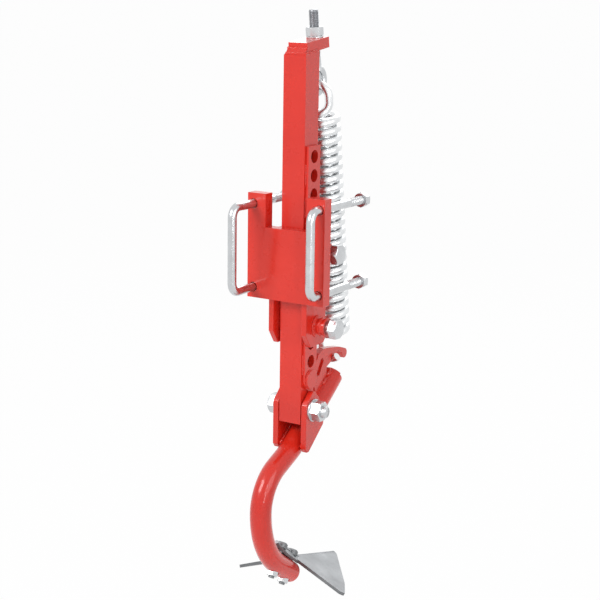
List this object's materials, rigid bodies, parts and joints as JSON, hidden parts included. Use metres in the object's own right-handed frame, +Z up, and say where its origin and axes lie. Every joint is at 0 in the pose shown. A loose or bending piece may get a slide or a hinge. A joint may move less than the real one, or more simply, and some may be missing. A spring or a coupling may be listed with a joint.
{
  "type": "spring-trip cultivator tine",
  "caption": "Heavy cultivator tine that trips back on a spring, with a height rack, a toolbar clamp and a goosefoot share",
  "frame": {"origin": "middle of the toolbar seat, on the clamp plate's front face", "axes": "+X to the side with the lock screws, +Y the way the tine travels and away from the toolbar, +Z up"},
  "size_m": [0.206, 0.2774, 0.9417],
  "materials": {
    "red_paint": "gloss",
    "zinc": "bright zinc plate",
    "share_steel": "dark hardened steel"
  },
  "bodies": {
    "holder": {"clamp_plate": "red_paint", "guide_side_left": "red_paint", "guide_side_right": "red_paint", "guide_pad": "red_paint", "guide_rear_plate": "red_paint", "lock_bosses": "red_paint"},
    "upper_lock": {"lock_screw_upper": "zinc"},
    "lower_lock": {"lock_screw_lower": "zinc"},
    "left_clamp": {"u_bolt_left": "zinc", "u_bolt_left_nuts": "zinc"},
    "right_clamp": {"u_bolt_right": "zinc", "u_bolt_right_nuts": "zinc"},
    "shank": {"shank_tube": "red_paint", "rack_strip": "red_paint", "end_stop": "red_paint", "top_plate": "red_paint", "top_weld": "red_paint", "pivot_bush": "zinc", "eyebolt": "zinc", "tension_washer": "zinc"},
    "spring_end": {"spring": "zinc"},
    "tension": {"tension_nut": "zinc"},
    "tine": {"clevis_left": "red_paint", "clevis_right": "red_paint", "pivot_bolt": "zinc", "pivot_washers": "zinc", "pivot_nut": "zinc", "tine_bar": "red_paint", "foot_strap": "red_paint", "hook_plate": "red_paint", "foot_bolts": "zinc", "foot_nuts": "zinc", "share": "share_steel", "share_bolts": "zinc", "share_nuts": "zinc"}
  },
  "joints": [
    {"name": "height_slide", "type": "slide", "parent": "holder", "child": "shank", "axis": [0, 0, 1], "range_m": [-0.15, 0.03]},
    {"name": "tine_trip", "type": "hinge", "parent": "shank", "child": "tine", "pos_m": [0, 0.041, -0.267], "axis": [-1, 0, 0], "range_deg": [0, 30], "stiffness_Nm_per_rad": 1700, "springref_deg": -2.01},
    {"name": "spring_stretch", "type": "slide", "parent": "shank", "child": "spring_end", "axis": [0, 0.2113, -0.9774], "range_m": [0, 0.0642], "deforming": ["spring"]},
    {"name": "upper_lock_slide", "type": "slide", "parent": "holder", "child": "upper_lock", "axis": [-1, 0, 0], "range_m": [0, 0.008]},
    {"name": "lower_lock_slide", "type": "slide", "parent": "holder", "child": "lower_lock", "axis": [-1, 0, 0], "range_m": [0, 0.008]},
    {"name": "left_clamp_slide", "type": "slide", "parent": "holder", "child": "left_clamp", "axis": [0, 1, 0], "range_m": [-0.074, 0.042]},
    {"name": "right_clamp_slide", "type": "slide", "parent": "holder", "child": "right_clamp", "axis": [0, 1, 0], "range_m": [-0.108, 0.008]},
    {"name": "tension_turn", "type": "hinge", "parent": "shank", "child": "tension", "pos_m": [0, 0.0898, 0.251], "axis": [0, -0.1323, 0.9912], "continuous": true}
  ],
  "couplings": [
    {"joint": "spring_stretch", "follows": "tine_trip", "m_per_rad": 0.12261}
  ]
}
